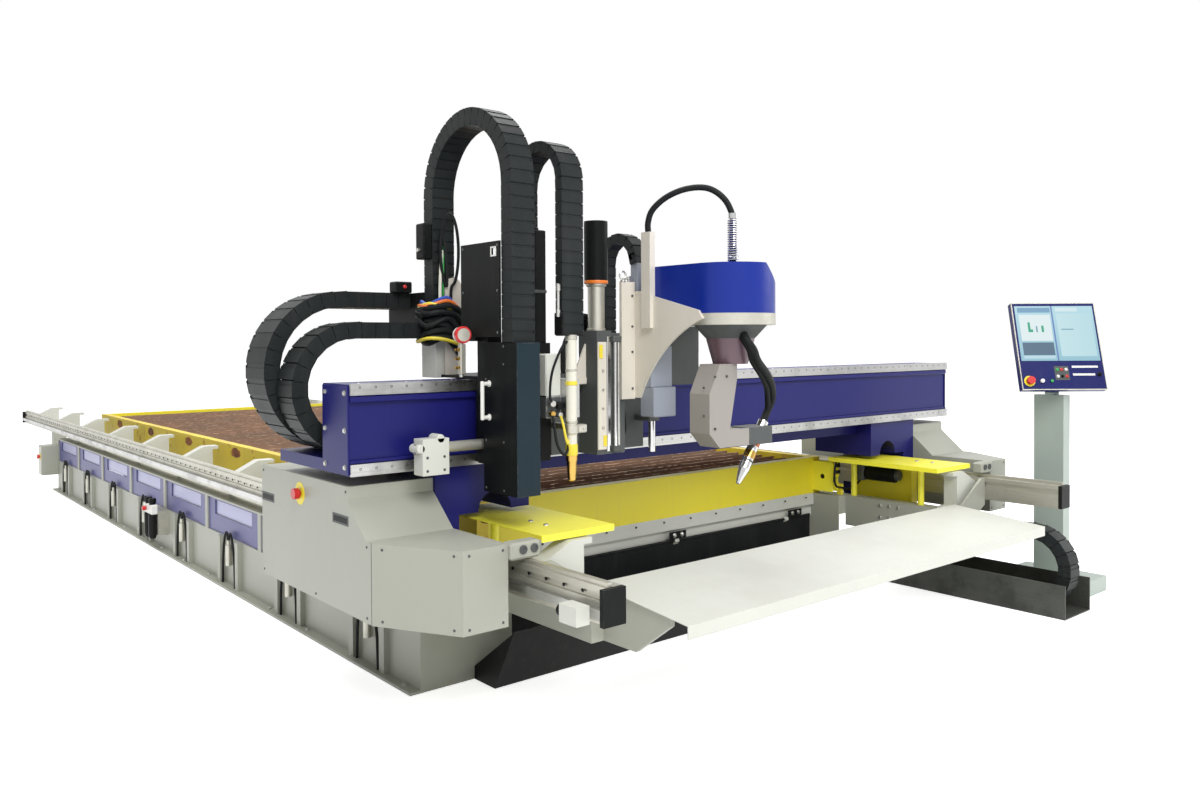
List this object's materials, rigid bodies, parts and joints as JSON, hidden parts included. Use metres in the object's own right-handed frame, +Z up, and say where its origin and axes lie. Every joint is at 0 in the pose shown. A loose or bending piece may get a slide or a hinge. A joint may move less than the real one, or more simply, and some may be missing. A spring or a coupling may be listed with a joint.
{
  "type": "cnc plasma table",
  "caption": "Gantry cutting machine with plasma, oxy-fuel and bevel torches that runs on floor-standing rails over a downdraft slat table with slag scoop and swivel console",
  "frame": {"origin": "on the floor under the middle of the machine at rest", "axes": "X across the table with the console on +X, Y along the rails away from the loading end, Z up"},
  "size_m": [4.3951, 10.355, 2.374],
  "materials": {
    "grey_paint": "satin powder coat, light warm grey",
    "pale_paint": "satin paint, pale grey",
    "yellow_paint": "gloss safety yellow paint",
    "beam_paint": "gloss blue-violet paint",
    "head_paint": "gloss blue paint",
    "black_paint": "satin black paint",
    "rusty_plate": "burnt and rusted mild steel",
    "machined_steel": "ground and galvanised steel",
    "rail_alloy": "anodised and machined alloy",
    "chain_plastic": "black moulded chain links",
    "cover_plastic": "black moulded cover",
    "hose_rubber": "black rubber hose",
    "stop_rubber": "black rubber on steel",
    "red_button": "gloss red",
    "green_button": "gloss green",
    "white_knob": "gloss white",
    "damper_sheet": "thin sheet, lavender paint",
    "screen": "lit screen behind glass"
  },
  "bodies": {
    "table": {"plenum_wall": "grey_paint", "damper_band": "beam_paint", "leg_frames": "grey_paint", "table_sides": "yellow_paint", "table_ends": "yellow_paint", "slats": "rusty_plate", "front_crossbeam": "grey_paint", "travel_rails": "rail_alloy", "gear_racks": "machined_steel", "rail_brackets": "pale_paint", "rail_ends": "stop_rubber", "outriggers": "grey_paint", "deck_plates": "yellow_paint", "apron": "pale_paint", "slag_hopper": "black_paint", "floor_channel": "machined_steel", "floor_chain_base": "chain_plastic", "console_stand": "pale_paint", "air_cylinders": "rail_alloy", "air_hoses": "hose_rubber"},
    "curtain": {"curtain_flap": "black_paint"},
    "dampers_front_body": {"dampers_front": "damper_sheet"},
    "dampers_rear_body": {"dampers_rear": "damper_sheet"},
    "scoop": {"slag_scoop": "rusty_plate"},
    "sprocket": {"scoop_sprocket": "black_paint"},
    "console": {"console_panel": "head_paint", "console_screen": "screen"},
    "console_estop_button": {"console_estop": "red_button"},
    "console_knob_dial": {"console_knob": "white_knob"},
    "console_start_button": {"console_start": "green_button"},
    "gantry": {"gantry_beam": "beam_paint", "guide_strips": "machined_steel", "chain_tray": "beam_paint", "gantry_legs": "beam_paint", "cover_left": "grey_paint", "cover_right": "grey_paint", "drive_units": "black_paint", "tray_chain_base": "chain_plastic", "floor_chain_top": "chain_plastic"},
    "left_pinion": {"pinion_left": "machined_steel"},
    "right_pinion": {"pinion_right": "machined_steel"},
    "gantry_estop_button": {"gantry_estop": "red_button"},
    "floor_bend": {"floor_chain_bend": "chain_plastic"},
    "torch_slide": {"torch_carriage": "grey_paint", "tray_chain_tops": "chain_plastic", "plasma_chain": "chain_plastic", "oxy_chain": "chain_plastic"},
    "tray_bends": {"tray_chain_bends": "chain_plastic"},
    "plasma_head": {"plasma_cover": "cover_plastic", "plasma_torch": "machined_steel"},
    "oxy_head": {"oxy_torch": "rail_alloy"},
    "bevel_slide": {"bevel_carriage": "grey_paint", "bevel_chain": "chain_plastic"},
    "bevel_head": {"bevel_bracket": "pale_paint", "bevel_housing": "head_paint", "bevel_hose": "hose_rubber", "spring_guard": "machined_steel"},
    "bevel_turret": {"bevel_arm": "pale_paint", "torch_hose": "hose_rubber"},
    "bevel_tip": {"bevel_torch": "machined_steel"}
  },
  "joints": [
    {"name": "gantry_travel", "type": "slide", "parent": "table", "child": "gantry", "axis": [0, 1, 0], "range_m": [-0.08, 7.6], "deforming": ["floor_chain_base", "floor_chain_top", "floor_chain_bend"]},
    {"name": "left_pinion_spin", "type": "hinge", "parent": "gantry", "child": "left_pinion", "pos_m": [-1.6753, -3.9105, 0.575], "axis": [0, 0, 1], "continuous": true},
    {"name": "right_pinion_spin", "type": "hinge", "parent": "gantry", "child": "right_pinion", "pos_m": [1.6753, -3.9105, 0.575], "axis": [0, 0, 1], "continuous": true},
    {"name": "floor_chain_roll", "type": "slide", "parent": "gantry", "child": "floor_bend", "axis": [0, 1, 0], "range_m": [-3.9, 0.1]},
    {"name": "torch_cross", "type": "slide", "parent": "gantry", "child": "torch_slide", "axis": [1, 0, 0], "range_m": [0, 1.9], "deforming": ["tray_chain_base", "tray_chain_tops", "tray_chain_bends"]},
    {"name": "bevel_cross", "type": "slide", "parent": "gantry", "child": "bevel_slide", "axis": [1, 0, 0], "range_m": [0, 1.9]},
    {"name": "tray_chain_roll", "type": "slide", "parent": "torch_slide", "child": "tray_bends", "axis": [1, 0, 0], "range_m": [-1, 0.05]},
    {"name": "plasma_lift", "type": "slide", "parent": "torch_slide", "child": "plasma_head", "axis": [0, 0, 1], "range_m": [-0.1, 0.1], "deforming": ["plasma_chain"]},
    {"name": "oxy_lift", "type": "slide", "parent": "torch_slide", "child": "oxy_head", "axis": [0, 0, 1], "range_m": [-0.15, 0.05], "deforming": ["oxy_chain"]},
    {"name": "bevel_lift", "type": "slide", "parent": "bevel_slide", "child": "bevel_head", "axis": [0, 0, 1], "range_m": [-0.105, 0.08], "deforming": ["bevel_chain"]},
    {"name": "bevel_turn", "type": "hinge", "parent": "bevel_head", "child": "bevel_turret", "pos_m": [-0.615, -4.6745, 1.48], "axis": [0, 0, 1], "range_deg": [-170, 170]},
    {"name": "bevel_tilt", "type": "hinge", "parent": "bevel_turret", "child": "bevel_tip", "pos_m": [-0.44, -4.6745, 1.045], "axis": [0, 1, 0], "range_deg": [-33, 12], "deforming": ["torch_hose"]},
    {"name": "curtain_swing", "type": "hinge", "parent": "table", "child": "curtain", "pos_m": [0, -3.7225, 0.372], "axis": [-1, 0, 0], "range_deg": [0, 70]},
    {"name": "front_dampers_swing", "type": "hinge", "parent": "table", "child": "dampers_front_body", "pos_m": [-1.6287, -3.9055, 0.483], "axis": [0, -1, 0], "range_deg": [0, 60]},
    {"name": "rear_dampers_swing", "type": "hinge", "parent": "table", "child": "dampers_rear_body", "pos_m": [-1.6287, -3.9055, 0.483], "axis": [0, -1, 0], "range_deg": [0, 60]},
    {"name": "scoop_travel", "type": "slide", "parent": "table", "child": "scoop", "axis": [0, -1, 0], "range_m": [0, 6.1]},
    {"name": "sprocket_spin", "type": "hinge", "parent": "table", "child": "sprocket", "pos_m": [1.224, -3.7905, 0.61], "axis": [1, 0, 0], "continuous": true},
    {"name": "console_swivel", "type": "hinge", "parent": "table", "child": "console", "pos_m": [1.986, -4.8205, 1.134], "axis": [0, 0, 1], "range_deg": [-60, 60]},
    {"name": "console_estop_press", "type": "slide", "parent": "console", "child": "console_estop_button", "axis": [0.6113, 0.7286, -0.309], "range_m": [0, 0.006], "stiffness_N_per_m": 800, "springref_m": -0.002},
    {"name": "console_knob_turn", "type": "hinge", "parent": "console", "child": "console_knob_dial", "pos_m": [1.79711, -4.85115, 1.20528], "axis": [-0.6113, -0.7286, 0.309], "range_deg": [-60, 60]},
    {"name": "console_start_press", "type": "slide", "parent": "console", "child": "console_start_button", "axis": [0.6113, 0.7286, -0.309], "range_m": [0, 0.003], "stiffness_N_per_m": 500, "springref_m": -0.002},
    {"name": "gantry_estop_press", "type": "slide", "parent": "gantry", "child": "gantry_estop_button", "axis": [1, 0, 0], "range_m": [0, 0.006], "stiffness_N_per_m": 800, "springref_m": -0.002}
  ],
  "couplings": [
    {"joint": "left_pinion_spin", "follows": "gantry_travel", "rad_per_m": -40},
    {"joint": "right_pinion_spin", "follows": "gantry_travel", "rad_per_m": 40},
    {"joint": "floor_chain_roll", "follows": "gantry_travel", "ratio": -0.5},
    {"joint": "torch_cross", "follows": "bevel_cross", "ratio": 1},
    {"joint": "tray_chain_roll", "follows": "bevel_cross", "ratio": -0.5},
    {"joint": "sprocket_spin", "follows": "scoop_travel", "rad_per_m": 16}
  ]
}
